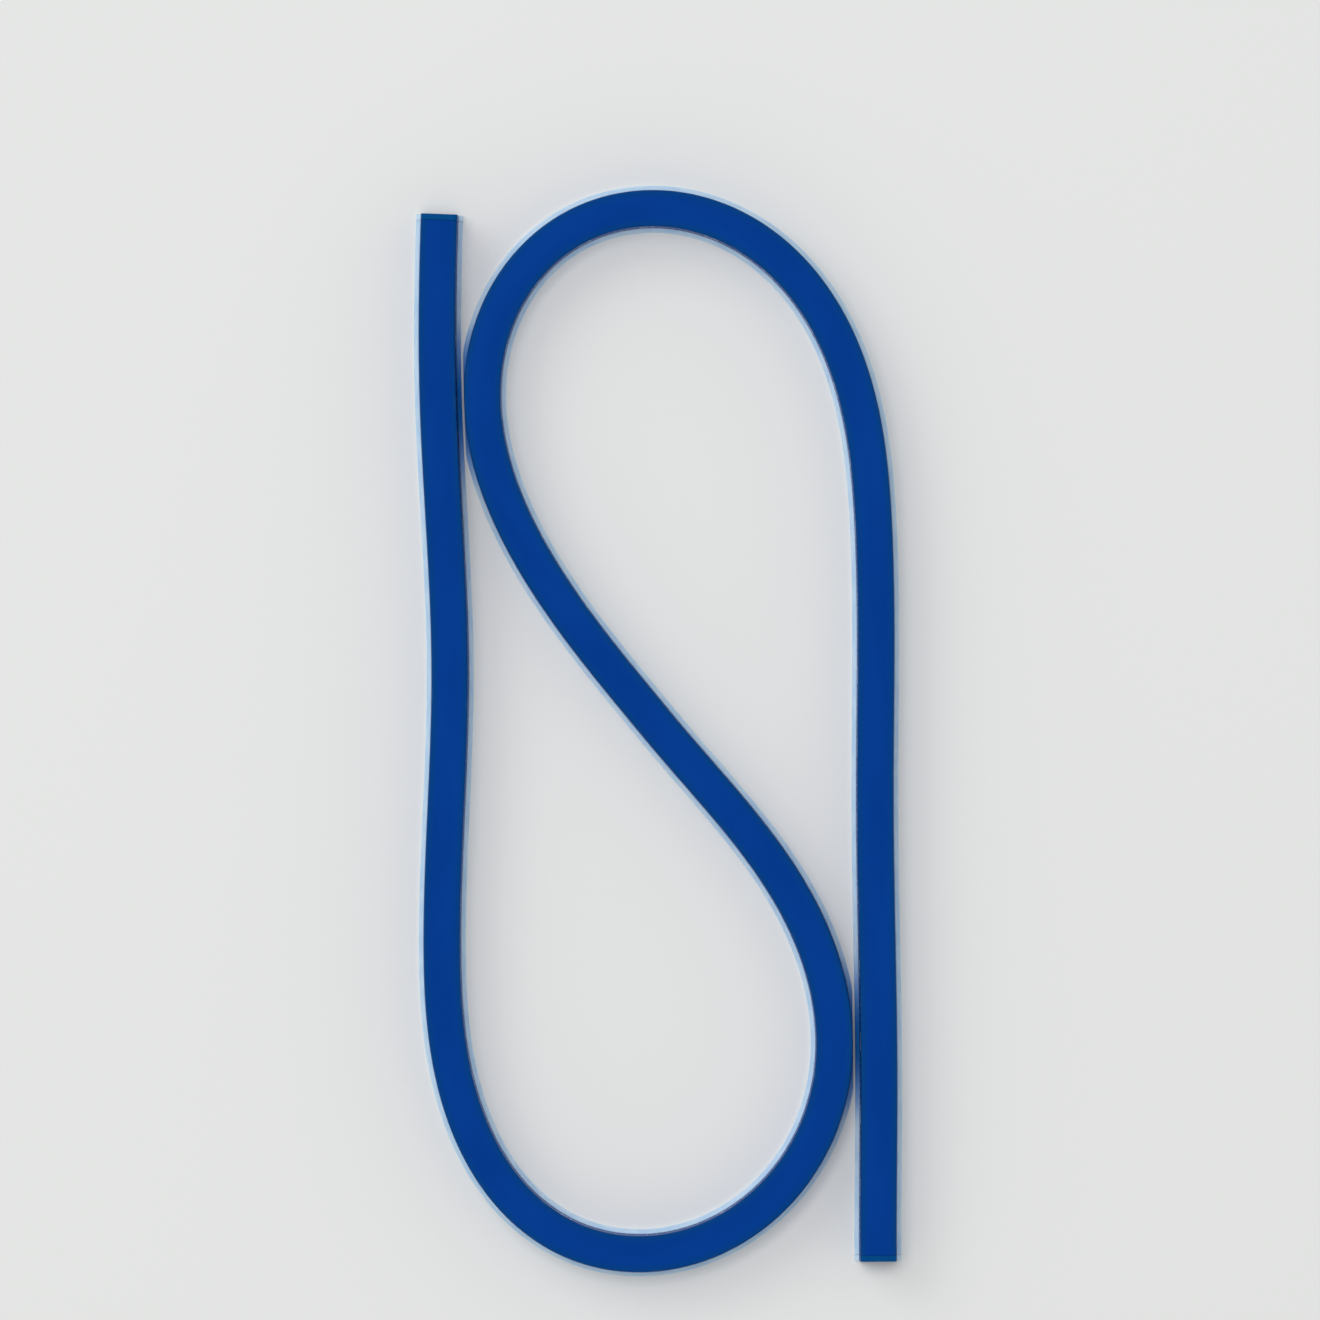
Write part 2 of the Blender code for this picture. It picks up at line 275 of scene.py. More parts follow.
def line_object(name):
    """A mesh of edges along the line, with the attributes lip_reach and lip_light."""
    mesh = bpy.data.meshes.new(name)
    corners = [(x, y, 0) for x, y in points]
    mesh.from_pydata(corners, [(i, i + 1) for i in range(len(corners) - 1)], [])
    for of_side in (lip_reach, lip_light):
        values = np.column_stack((of_side(1), of_side(-1), np.zeros(len(along))))
        attribute = mesh.attributes.new(of_side.__name__, "FLOAT_VECTOR", "POINT")
        attribute.data.foreach_set("vector", values.ravel())
        print(f"{attribute.name}: from {values[:, :2].min():.5f} to {values[:, :2].max():.5f}")
    return in_scene(name, mesh)


line = line_object("centre_line")

# %% [markdown]
# Node trees are easier to read as sums than as wires. A Wire stands for a node's output. Square brackets
# give another output of its node, and adding, subtracting, multiplying or dividing wires adds Math nodes.
# The reflected forms let a plain number come first, as in 1 - mask. Every other node comes from one
# method, which takes the node's type, the values or wires of its sockets, and its settings.

# %% Wires
class Wire:
    """A node's output socket, for use in sums."""

    def __init__(self, graph, socket):
        self.graph = graph
        self.socket = socket

    def __getitem__(self, output):
        """Another output of the same node."""
        return Wire(self.graph, self.socket.node.outputs[output])

    def __add__(self, other):
        return self.graph.math("ADD", self, other)

    def __radd__(self, other):
        return self.graph.math("ADD", other, self)

    def __sub__(self, other):
        return self.graph.math("SUBTRACT", self, other)

    def __rsub__(self, other):
        return self.graph.math("SUBTRACT", other, self)

    def __mul__(self, other):
        return self.graph.math("MULTIPLY", self, other)

    def __rmul__(self, other):
        return self.graph.math("MULTIPLY", other, self)

    def __truediv__(self, other):
        return self.graph.math("DIVIDE", self, other)

    def __abs__(self):
        return self.graph.math("ABSOLUTE", self)


# %% Graphs
class Graph:
    """Adds nodes to one node tree."""

    def __init__(self, tree):
        self.tree = tree

    def feed(self, socket, value):
        """Gives a socket a wire or a plain value."""
        if isinstance(value, Wire):
            self.tree.links.new(value.socket, socket)
        else:
            socket.default_value = value

    def add(self, kind, inputs=None, **settings):
        """A node of any kind, and the wire of its first output."""
        node = self.tree.nodes.new(kind)
        for name, value in settings.items():
            setattr(node, name, value)
        for key, value in (inputs or {}).items():
            self.feed(node.inputs[key], value)
        return Wire(self, node.outputs[0]) if node.outputs else node

    def math(self, operation, *values):
        """The result of a Math node."""
        return self.add("ShaderNodeMath", dict(enumerate(values)), operation=operation)

    def vector(self, operation, *vectors):
        """The result of a Vector Math node."""
        return self.add("ShaderNodeVectorMath", dict(enumerate(vectors)), operation=operation)

    def combine(self, x, y, z):
        """A vector of three numbers."""
        return self.add("ShaderNodeCombineXYZ", {0: x, 1: y, 2: z})

    def split(self, vector):
        """The wires of a vector's three numbers."""
        x = self.add("ShaderNodeSeparateXYZ", {0: vector})
        return x, x["Y"], x["Z"]


# %% [markdown]
# An extruded profile is drawn once and pushed along a line, and Geometry Nodes can do just that, for the
# sheath, the lead bar and the steel strips alike. The tree first makes the piece straight: x is the
# distance along the ruler, y the distance to the left and z the height. It keeps those three numbers in
# an attribute called straight, which the materials use later, and only then bends the piece along the
# line. Curve to Mesh alone could follow the line, but it would neither press the lips nor keep the seams
# between neighbours exact. Here each point depends on its straight place alone, so two pieces that meet
# at the same distance meet exactly.

# %% Inputs of the trees, and common nodes
BEND_INPUTS = {
    "Geometry": "NodeSocketGeometry",
    "Line": "NodeSocketObject",
    "Lip Root": "NodeSocketFloat",
    "Lip Reach": "NodeSocketFloat",
    "Material": "NodeSocketMaterial",
}
EXTRUSION_INPUTS = BEND_INPUTS | dict.fromkeys(("Start", "End", "Step"), "NodeSocketFloat")
WELD = 0.001 * MM


def named(graph, name, kind="FLOAT_VECTOR"):
    """An attribute of the points."""
    return graph.add("GeometryNodeInputNamedAttribute", {"Name": name}, data_type=kind)


def store(graph, geometry, name, value, kind="FLOAT_VECTOR"):
    """The geometry with one more attribute."""
    inputs = {"Geometry": geometry, "Name": name, "Value": value}
    return graph.add("GeometryNodeStoreNamedAttribute", inputs, data_type=kind)


def place_at(graph, geometry, place):
    """The geometry with its points in new places."""
    return graph.add("GeometryNodeSetPosition", {"Geometry": geometry, "Position": place})


# %% The straight extrusion
def straight_piece(graph, given):
    """The closed extrusion before it is bent."""
    start, end = given["Start"], given["End"]
    place = graph.add("GeometryNodeInputPosition")
    x, y, _ = graph.split(place)
    rail = graph.add("GeometryNodeCurvePrimitiveLine", {
        "Start": graph.combine(start, 0, 0), "End": graph.combine(end, 0, 0)})
    rings = graph.math("CEIL", (end - start) / given["Step"]) + 1
    rail = graph.add("GeometryNodeResampleCurve", {"Curve": rail, "Count": rings}, mode="COUNT")
    rail = store(graph, rail, "rail_x", x, "FLOAT")
    profile = graph.add("GeometryNodeMeshToCurve", {"Mesh": given["Geometry"]})
    drawn = store(graph, profile, "section", place)
    wall = graph.add("GeometryNodeCurveToMesh", {"Curve": rail, "Profile Curve": drawn})
    side, height, _ = graph.split(named(graph, "section"))
    wall = place_at(graph, wall, graph.combine(named(graph, "rail_x", "FLOAT"), side, height))
    for name in ("rail_x", "section"):
        wall = graph.add("GeometryNodeRemoveAttribute", {"Geometry": wall, "Name": name})
    joined = graph.add("GeometryNodeJoinGeometry", {"Geometry": wall})
    cap = graph.add("GeometryNodeFillCurve", {"Curve": profile}, mode="TRIANGLES")
    for end_x in (start, end):
        placed = place_at(graph, cap, graph.combine(end_x, x, y))
        graph.feed(joined.socket.node.inputs["Geometry"], placed)
    return graph.add("GeometryNodeMergeByDistance", {"Geometry": joined, "Distance": WELD})


# %% Places along the line
def on_line(graph, given, name):
    """The line's place beside each point, and the line's attribute on the point's side."""
    s, side, _ = graph.split(graph.add("GeometryNodeInputPosition"))
    line_mesh = graph.add("GeometryNodeObjectInfo", {"Object": given["Line"]})["Geometry"]
    curve = graph.add("GeometryNodeMeshToCurve", {"Mesh": line_mesh})
    inputs = {"Curves": curve, "Value": named(graph, name), "Length": s}
    found = graph.add("GeometryNodeSampleCurve", inputs, mode="LENGTH", data_type="FLOAT_VECTOR")
    on_left, on_right, _ = graph.split(found["Value"])
    is_left = graph.math("GREATER_THAN", side, 0)
    return found["Position"], is_left * on_left + (1 - is_left) * on_right


def bent_place(graph, given):
    """Where each point of the straight piece goes on the line."""
    _, side, height = graph.split(graph.add("GeometryNodeInputPosition"))
    centre, reach = on_line(graph, given, "lip_reach")
    root = given["Lip Root"]
    on_lip = graph.math("MAXIMUM", abs(side) - root, 0)
    pressed = graph.math("MINIMUM", abs(side), root) + on_lip * reach / given["Lip Reach"]
    pressed = pressed * graph.math("SIGN", side)
    ahead_x, ahead_y, _ = graph.split(centre["Tangent"])
    return graph.vector("ADD", centre, graph.combine(0 - pressed * ahead_y, pressed * ahead_x, height))


# %% Trees that bend what they make
def bent_tree(name, inputs, make_straight):
    """A tree that makes something straight from its inputs, and bends it along the line."""
    tree = bpy.data.node_groups.new(name, "GeometryNodeTree")
    for label, kind in inputs.items():
        tree.interface.new_socket(label, in_out="INPUT", socket_type=kind)
    tree.interface.new_socket("Geometry", in_out="OUTPUT", socket_type="NodeSocketGeometry")
    graph = Graph(tree)
    given = graph.add("NodeGroupInput")
    straight = make_straight(graph, given)
    straight = store(graph, straight, "straight", graph.add("GeometryNodeInputPosition"))
    _, light = on_line(graph, given, "lip_light")
    straight = store(graph, straight, "lip_light", light, "FLOAT")
    bent = place_at(graph, straight, bent_place(graph, given))
    painted = graph.add("GeometryNodeSetMaterial", {"Geometry": bent, "Material": given["Material"]})
    graph.add("NodeGroupOutput", {"Geometry": painted})
    print(f"{name}: {len(tree.nodes)} nodes")
    return tree


extrusion_tree = bent_tree("bent_extrusion", EXTRUSION_INPUTS, straight_piece)

# %% [markdown]
# A piece starts as its profile: closed outlines of edges, in a mesh of its own. The modifier turns it
# into the bent extrusion. The result is then kept as a plain mesh, with its normals pointing outwards
# and its sharp edges marked, so that the finished piece doesn't depend on a node tree.

# %% From outlines to a finished piece
SHARP_ANGLE = radians(35)


def tidy_mesh(mesh):
    """Turns all faces outwards and marks sharp edges. Says how many edges are left open."""
    work = bmesh.new()
    work.from_mesh(mesh)
    bmesh.ops.recalc_face_normals(work, faces=work.faces)
    open_edges = sum(not edge.is_manifold for edge in work.edges)
    work.to_mesh(mesh)
    work.free()
    mesh.shade_smooth()
    mesh.set_sharp_from_angle(angle=SHARP_ANGLE)
    return open_edges


def profile_mesh(name, outlines):
    """Closed outlines of (side, height) points, as edges."""
    corners, edges = [], []
    for outline in outlines:
        first, count = len(corners), len(outline)
        corners += [(side, height, 0) for side, height in outline]
        edges += [(first + i, first + (i + 1) % count) for i in range(count)]
    mesh = bpy.data.meshes.new(name)
    mesh.from_pydata(corners, edges, [])
    return mesh


def bent_piece(name, mesh, tree, material, **sizes):
    """The plain mesh that a tree makes of a mesh. Underscores in the sizes' names stand for spaces."""
    piece = in_scene(name, mesh)
    modifier = piece.modifiers.new(tree.name, "NODES")
    modifier.node_group = tree
    values = {"Line": line, "Lip Root": TOP_HALF, "Lip Reach": LIP_REACH, "Material": material}
    values |= {label.replace("_", " "): size for label, size in sizes.items()}
    for item in tree.interface.items_tree:
        if item.name in values:
            modifier[item.identifier] = values[item.name]
    evaluated = piece.evaluated_get(bpy.context.evaluated_depsgraph_get())
    made = bpy.data.meshes.new_from_object(evaluated)
    made.name = name
    piece.modifiers.remove(modifier)
    piece.data = made
    bpy.data.meshes.remove(mesh)
    open_edges = tidy_mesh(made)
    if open_edges:
        print(f"{name} has {open_edges} open edges")
    return piece


# %% [markdown]
# The sheath's section is drawn as corners with a radius each. Sharp corners would look like folded
# paper: the light that runs along a rounded edge is what shows the eye soft vinyl. The base has a thin
# lip on both sides, the ruling edge that a pencil follows, and a small fillet where it leaves the wall.
# The top is crowned a little, as extruded vinyl is when it cools. Points beside each arc keep the flat
# faces flat under smooth shading.

# %% Rounded outlines
ARC_STEP = radians(20)
SUPPORT = 0.06 * MM


def arc_points(last, corner, after, radius):
    """Points of one rounded corner, with a point on the flat before it and after it."""
    to_last, to_next = last - corner, after - corner
    to_last, to_next = to_last / np.linalg.norm(to_last), to_next / np.linalg.norm(to_next)
    inside = np.arccos(to_last @ to_next)
    sweep = pi - inside
    cut = radius / np.tan(inside / 2)
    middle = (to_last + to_next) / np.linalg.norm(to_last + to_next)
    centre = corner + middle * radius / np.sin(inside / 2)
    first, final = corner + to_last * cut - centre, corner + to_next * cut - centre
    shares = np.linspace(0, 1, max(2, ceil(sweep / ARC_STEP)) + 1)
    arc = [(np.sin((1 - t) * sweep) * first + np.sin(t * sweep) * final) / np.sin(sweep) for t in shares]
    arc = [first + to_last * SUPPORT, *arc, final + to_next * SUPPORT]
    return [tuple(centre + point) for point in arc]


def rounded(corners):
    """Closed outline from corners of (side, height, radius). A radius of 0 keeps the corner."""
    places = [np.array(corner[:2]) for corner in corners]
    outline = []
    for i, (side, height, radius) in enumerate(corners):
        after = places[(i + 1) % len(places)]
        outline += arc_points(places[i - 1], places[i], after, radius) if radius else [(side, height)]
    return outline


def both_halves(right_half):
    """The corners of a whole section from its right half, bottom to top."""
    mirrored = [(-side, height, radius) for side, height, radius in reversed(right_half) if side]
    return [*right_half, *mirrored]


# %% Section of the sheath
LIP_EDGE = 0.45 * MM
LIP_ROOT = 0.8 * MM
BASE_ROUNDING = 0.1 * MM
LIP_ROUNDING = 0.14 * MM
LIP_FILLET = 0.25 * MM
TOP_ROUNDING = 0.35 * MM
TOP_CROWN = 0.06 * MM
CROWN_SHARES = (0.7, 0.35, 0.0)
CHANNEL_HALF = 1.7 * MM
FLOOR_WALL = 0.9 * MM
TOP_WALL = 0.9 * MM
CHANNEL_TOP = HEIGHT - TOP_WALL
CHANNEL_ROUNDING = 0.12 * MM

crown = [(share * TOP_HALF, HEIGHT - TOP_CROWN * share ** 2, 0) for share in CROWN_SHARES]
sheath_outline = rounded(both_halves([
    (0, 0, 0),
    (BASE_HALF, 0, BASE_ROUNDING),
    (BASE_HALF, LIP_EDGE, LIP_ROUNDING),
    (TOP_HALF, LIP_ROOT, LIP_FILLET),
    (TOP_HALF, HEIGHT - TOP_CROWN, TOP_ROUNDING),
    *crown,
]))
channel_outline = rounded(both_halves([
    (CHANNEL_HALF, FLOOR_WALL, CHANNEL_ROUNDING),
    (CHANNEL_HALF, CHANNEL_TOP, CHANNEL_ROUNDING),
]))
print(f"sheath outline {len(sheath_outline)} points, channel outline {len(channel_outline)} points")

# %% [markdown]
# Vinyl is never one flat blue. An extruded strip shows faint lines along its length, left by the die, a
# fine grain, a gloss that is cloudier in some places than in others, and edges rubbed by use. All of
# that belongs to the strip, so it is laid out in the straight coordinates that the extrusion kept, and
# bends with it. The rounded edges of the top are painted a darker blue, which is painted shade. The lip
# is so thin that light passes into it, which makes it look pale wherever light reaches it. The materials
# count in millimetres.

# %% Helpers for materials
MIX_A, MIX_B, MIX_RESULT = 6, 7, 2


def new_material(name):
    """A material with a Principled shader, and its graph."""
    material = bpy.data.materials.new(name)
    material.use_nodes = True
    return material, Graph(material.node_tree), material.node_tree.nodes["Principled BSDF"]


def plug_in(graph, shader, **values):
    """Sets the shader's sockets. Spaces in their names are written as underscores."""
    for name, value in values.items():
        graph.feed(shader.inputs[name.replace("_", " ")], value)


def straight_millimetres(graph):
    """Place in the straight ruler, in millimetres."""
    place = graph.add("ShaderNodeAttribute", attribute_name="straight")["Vector"]
    return graph.vector("MULTIPLY", place, (1 / MM,) * 3)


def noise(graph, place, stretch, detail):
    """Noise between 0 and 1. A millimetre holds stretch features each way, with detail finer layers."""
    place = graph.vector("MULTIPLY", place, stretch)
    return graph.add("ShaderNodeTexNoise", {"Vector": place, "Scale": 1.0, "Detail": detail})


def fade(graph, value, start, end):
    """0 up to start, 1 from end, smooth between."""
    inputs = {"Value": value, "From Min": start, "From Max": end}
    return graph.add("ShaderNodeMapRange", inputs, interpolation_type="SMOOTHSTEP")


def from_to(wire, low, high):
    """low where the wire is 0, high where it is 1."""
    return low + (high - low) * wire


def mix(graph, factor, a, b):
    """Colour a fading into colour b. The node's colour sockets stand behind those for other types."""
    a, b = (colour if isinstance(colour, Wire) else (*colour, 1) for colour in (a, b))
    return graph.add("ShaderNodeMix", {0: factor, MIX_A: a, MIX_B: b}, data_type="RGBA")[MIX_RESULT]


def bump(graph, height, depth):
    """A normal from a height between 0 and 1 and the depth that 1 stands for."""
    return graph.add("ShaderNodeBump", {"Height": height, "Distance": depth})


def finished(material):
    """The material, after printing how many nodes it has."""
    print(f"{material.name}: {len(material.node_tree.nodes)} nodes")
    return material


# %% Colours and gloss of the vinyl
COBALT = (0.0004, 0.040, 0.268)
COBALT_CLOUD = (0.0006, 0.045, 0.290)
PAINTED_EDGE_SHADE = (0.001, 0.050, 0.215)
SCUFF = (0.02, 0.085, 0.28)
PALE_LIP = (0.60, 0.78, 0.93)
PALE_LIP_DEEP = (0.50, 0.70, 0.90)
SHADED_LIP = (0.02, 0.22, 0.75)
VINYL_SPECULAR = 0.25
VINYL_SHEEN_TINT = (0.2, 0.5, 1.0, 1)
VINYL_ROUGHNESS = (0.34, 0.48)
VINYL_RELIEF = 0.009 * MM

# %% Where the looks of the section change
LIP_TINT_SHARES = (0.0, 0.25)
LIP_TINT_END = (0.15, 0.45)
EDGE_SIDE_SHARES = (0.52, 1.0)
EDGE_HEIGHT_SHARES = (0.925, 0.975)
RUBBED_SIDE_SHARES = (0.84, 0.96)


def shares_of(size, shares):
    """Places in millimetres, at shares of a size."""
    return [share * size / MM for share in shares]


def lip_mask(graph, side, height):
    """1 on the ruling lips, 0 on the rest of the section."""
    out = fade(graph, abs(side), *((TOP_HALF + share * LIP_REACH) / MM for share in LIP_TINT_SHARES))
    return out * (1 - fade(graph, height, *(LIP_ROOT / MM + rise for rise in LIP_TINT_END)))


def edge_mask(graph, side, height):
    """1 on the rounded edges of the top, 0 on its middle and on the walls."""
    beside = fade(graph, abs(side), *shares_of(TOP_HALF, EDGE_SIDE_SHARES))
    return beside * fade(graph, height, *shares_of(HEIGHT, EDGE_HEIGHT_SHARES))


# %% The vinyl itself
CLOUDS = ((0.06, 0.25, 0.25), 3.0)
CLOUD_EDGES = (0.35, 0.7)
DIE_LINES = ((0.004, 5.0, 5.0), 3.0)
DIE_LINE_ROUGHNESS = 0.06
GRAIN = ((7.0, 7.0, 7.0), 2.0)
GRAIN_SHARE = 0.6
WEAR = ((0.35, 1.5, 1.5), 4.0)
LIP_WEAR_EDGES = (0.35, 0.65)
SCUFF_EDGES = (0.58, 0.72)
SCUFF_STRENGTH = 0.5
SCUFF_ROUGHNESS = 0.18


def sheath_vinyl():
    """Cobalt vinyl with pale lips, die lines, fine grain, rubbed edges, and painted shade on the top's
    rounded edges.
    """
    material, graph, shader = new_material("sheath_vinyl")
    place = straight_millimetres(graph)
    _, side, height = graph.split(place)
    cloud, die_lines, grain, wear = (
        noise(graph, place, *sizes) for sizes in (CLOUDS, DIE_LINES, GRAIN, WEAR))
    top_edge = edge_mask(graph, side, height)
    rubbed = fade(graph, abs(side), *shares_of(TOP_HALF, RUBBED_SIDE_SHARES)) * top_edge
    scuffs = rubbed * fade(graph, wear, *SCUFF_EDGES)
    blue = mix(graph, fade(graph, cloud, *CLOUD_EDGES), COBALT, COBALT_CLOUD)
    # Painted shade: the top's rounded edges are painted a darker blue.
    blue = mix(graph, top_edge, blue, PAINTED_EDGE_SHADE)
    blue = mix(graph, scuffs * SCUFF_STRENGTH, blue, SCUFF)
    pale = mix(graph, fade(graph, wear, *LIP_WEAR_EDGES), PALE_LIP, PALE_LIP_DEEP)
    # Painted shade: where the lip lies in a narrow gap its colour is deepened to SHADED_LIP, and it stays so
    # in every pose.
    light = graph.add("ShaderNodeAttribute", attribute_name="lip_light")["Fac"]
    pale = mix(graph, light, SHADED_LIP, pale)
    rough = from_to(cloud, *VINYL_ROUGHNESS) + DIE_LINE_ROUGHNESS * die_lines + SCUFF_ROUGHNESS * scuffs
    relief = GRAIN_SHARE * grain + (1 - GRAIN_SHARE) * die_lines
    plug_in(graph, shader, Base_Color=mix(graph, lip_mask(graph, side, height), blue, pale),
            Roughness=rough, Normal=bump(graph, relief, VINYL_RELIEF),
            Specular_IOR_Level=VINYL_SPECULAR, Specular_Tint=VINYL_SHEEN_TINT)
    return finished(material)


sheath_material = sheath_vinyl()

# %% [markdown]
# The sheath is laid over the links in runs. Each run reaches from the middle of one link to the middle of
# the next, so it crosses exactly one hinge. For each run the stretch round its hinge is worked out: the
# whole run, or on the strands, whose links are long and whose outside lies against a bend, a shorter
# stretch round the hinge.

# %% Runs over the hinges
PLUG_PLATE = 0.8 * MM
PLUG_SEAM = 0.04 * MM
SHEATH_STEP = 0.45 * MM
STRAND_HINGES = 2
STRAND_BLEND = 14 * MM
RUNS = len(hinges)


def run_stops(inset):
    """Where the runs start and end, from inset at the left end to inset at the right end."""
    return [inset, *middles[1:-1], RULER_LENGTH - inset]


def bend_over_hinge(piece, run):
    """Works out the stretch round a hinge, between the link before it and the link after it, and bakes the
    piece's transform into its mesh.
    """
    stops = middles[run:run + 2]
    if min(run, RUNS - 1 - run) < STRAND_HINGES:
        stops = (hinges[run] - STRAND_BLEND / 2, hinges[run] + STRAND_BLEND / 2)
    near, far = (at(s) for s in stops)
    ahead = (far - near) / np.linalg.norm(far - near)
    overhang = [abs(across(s) @ ahead) * BASE_HALF for s in stops]
    f"link_{run + 1:02d}"
    f"link_{run + 2:02d}"
    near + ahead * overhang[0]
    far - ahead * overhang[1]
    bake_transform(piece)


def triangles(pieces):
    """How many triangles the pieces have together."""
    return sum(len(face.vertices) - 2 for piece in pieces for face in piece.data.polygons)


def lay_runs(name, node, outlines, inset, step, material):
    """Runs of one layer. Each stands for the link it starts on, and the last one for both its links."""
    stops = run_stops(inset)
    pieces = []
    for run in range(RUNS):
        piece = bent_piece(f"{name}_{run + 1:02d}", profile_mesh("profile", outlines), extrusion_tree,
                           material, Start=stops[run], End=stops[run + 1], Step=step)
        bend_over_hinge(piece, run)
        nodes = [node.format(link) for link in (run + 1, run + 2) if link == run + 1 or run == RUNS - 1]
        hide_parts(*nodes)
        pieces.append(piece)
    print(f"{name}: {len(pieces)} runs, {triangles(pieces)} triangles")


lay_runs("sheath_run", "sheath_link_{:02d}", [sheath_outline, channel_outline], PLUG_PLATE + PLUG_SEAM,
         SHEATH_STEP, sheath_material)

# %% [markdown]
# A ruler has a scale, and on this kind it is printed on the two walls, where it stands at the edge that
# the pencil follows. The photograph looks straight down and shows neither wall, so these marks are a
# guess: millimetres on the right wall and sixteenths of an inch on the left one, in plain figures.
# Geometry Nodes repeat the ticks: a row of points, one for each tick, and on every point a block whose
# length depends on its number. They are bent along the line with the figures, by the same rule as the
# sheath, so they stay on its walls.

# %% A tree for the ticks
TICK_COUNTS = ("First", "Count", "Middle Every", "Long Every")
TICK_SIZES = ("Zero", "Pitch", "Wall", "Foot", "Short", "Middle", "Long", "Width", "Relief")
TICK_INPUTS = BEND_INPUTS | dict.fromkeys(TICK_COUNTS, "NodeSocketInt")
TICK_INPUTS |= dict.fromkeys(TICK_SIZES, "NodeSocketFloat")


def every(graph, number, count):
    """1 for whole multiples of count, 0 for other whole numbers."""
    return 1 - graph.math("MINIMUM", graph.math("MODULO", number, count), 1)


def straight_ticks(graph, given):
    """The figures that come with the mesh, and a straight row of ticks."""
    zero, pitch, short = (given[label] for label in ("Zero", "Pitch", "Short"))
    start = graph.combine(zero + given["First"] * pitch, 0, 0)
    inputs = {"Count": given["Count"], "Start Location": start, "Offset": graph.combine(pitch, 0, 0)}
    row = graph.add("GeometryNodeMeshLine", inputs, mode="OFFSET")
    x, _, _ = graph.split(graph.add("GeometryNodeInputPosition"))
    number = graph.math("ROUND", (x - zero) / pitch)
    length = short + every(graph, number, given["Middle Every"]) * (given["Middle"] - short)
    length = length + every(graph, number, given["Long Every"]) * (given["Long"] - length)
    row = place_at(graph, row, graph.combine(x, given["Wall"], given["Foot"] + length / 2))
    block = graph.add("GeometryNodeMeshCube", {"Size": (1, 1, 1)})
    ticks = graph.add("GeometryNodeInstanceOnPoints", {
        "Points": row, "Instance": block,
        "Scale": graph.combine(given["Width"], given["Relief"], length)})
    ticks = graph.add("GeometryNodeRealizeInstances", {"Geometry": ticks})
    joined = graph.add("GeometryNodeJoinGeometry", {"Geometry": ticks})
    graph.feed(joined.socket.node.inputs["Geometry"], given["Geometry"])
    return joined


tick_tree = bent_tree("scale_ticks", TICK_INPUTS, straight_ticks)

# %% Figures of the scale
INK_RELIEF = 0.03 * MM
FIGURE_SIZE = 2.7 * MM
FIGURE_FOOT = 3.85 * MM
FIGURE_CURVE_STEPS = 3


def figure_points(number, s, hand):
    """Corners and faces of a number on a wall, straight, its middle at a distance along the ruler."""
    curve = bpy.data.curves.new("figure", "FONT")
    curve.body, curve.size, curve.align_x = str(number), FIGURE_SIZE, "CENTER"
    curve.extrude, curve.resolution_u = INK_RELIEF / 2, FIGURE_CURVE_STEPS
    figure = bpy.data.objects.new("figure", curve)
    mesh = bpy.data.meshes.new_from_object(figure)
    flat = [vertex.co for vertex in mesh.vertices]
    corners = [(s - hand * x, hand * (TOP_HALF + z), FIGURE_FOOT + y) for x, y, z in flat]
    faces = [tuple(face.vertices) for face in mesh.polygons]
    bpy.data.objects.remove(figure)
    bpy.data.curves.remove(curve)
    bpy.data.meshes.remove(mesh)
    return corners, faces


def figures_mesh(name, numbered):
    """One mesh with all the given numbers, as (number, distance along the ruler, hand)."""
    corners, faces = [], []
    for number, s, hand in numbered:
        more_corners, more_faces = figure_points(number, s, hand)
        faces += [tuple(i + len(corners) for i in face) for face in more_faces]
        corners += more_corners
    mesh = bpy.data.meshes.new(name)
    mesh.from_pydata(corners, [], faces)
    work = bmesh.new()
    work.from_mesh(mesh)
    bmesh.ops.remove_doubles(work, verts=work.verts, dist=WELD)
    work.to_mesh(mesh)
    work.free()
    return mesh


# %% [markdown]
# The ink is a soft white with a touch of the blue below it, thinner in some places than in others. Each
# run of the scale crosses the same hinge as the run of sheath that it is printed on.

# %% Printed scale
INK = (0.66, 0.73, 0.80)
WORN_INK = (0.36, 0.46, 0.60)
INK_WEAR = ((1.1, 2.0, 2.0), 4.0)
INK_WEAR_EDGES = (0.5, 0.75)
INK_ROUGHNESS = (0.4, 0.6)
TICK_WIDTH = 0.16 * MM
TICK_FOOT = 1.2 * MM
TICK_LENGTHS = {"Short": 1.0 * MM, "Middle": 1.5 * MM, "Long": 2.1 * MM}
INCH = 25.4 * MM
SCALES = {
    "millimetre": {"hand": -1, "unit": 10 * MM, "parts": 10, "middle": 5, "zero": 0.0, "way": 1},
    "inch": {"hand": 1, "unit": INCH, "parts": 16, "middle": 8, "zero": RULER_LENGTH, "way": -1},
}


def ink():
    """White ink, worn thin in places."""
    material, graph, shader = new_material("scale_ink")
    worn = noise(graph, straight_millimetres(graph), *INK_WEAR)
    plug_in(graph, shader, Base_Color=mix(graph, fade(graph, worn, *INK_WEAR_EDGES), INK, WORN_INK),
            Roughness=from_to(worn, *INK_ROUGHNESS), Specular_IOR_Level=VINYL_SPECULAR)
    return finished(material)


def print_scale(name, run, hand, unit, parts, middle, zero, way):
    """The ticks and figures of one scale on one run."""
    low, high = run_stops(PLUG_PLATE)[run:run + 2]
    near, far = sorted(((low - zero) * way, (high - zero) * way))
    pitch = unit / parts
    first, last = ceil(near / pitch), ceil(far / pitch) - 1
    numbers = [k // parts for k in range(max(first, 1), last + 1) if k % parts == 0]
    mesh = figures_mesh("figures", [(n, zero + way * n * unit, hand) for n in numbers])
    return bent_piece(f"{name}_scale_{run + 1:02d}", mesh, tick_tree, ink_material, First=first,
                      Count=last - first + 1, Zero=zero, Pitch=way * pitch, Wall=hand * TOP_HALF,
                      Middle_Every=middle, Long_Every=parts, Foot=TICK_FOOT, Width=TICK_WIDTH,
                      Relief=INK_RELIEF, **TICK_LENGTHS)


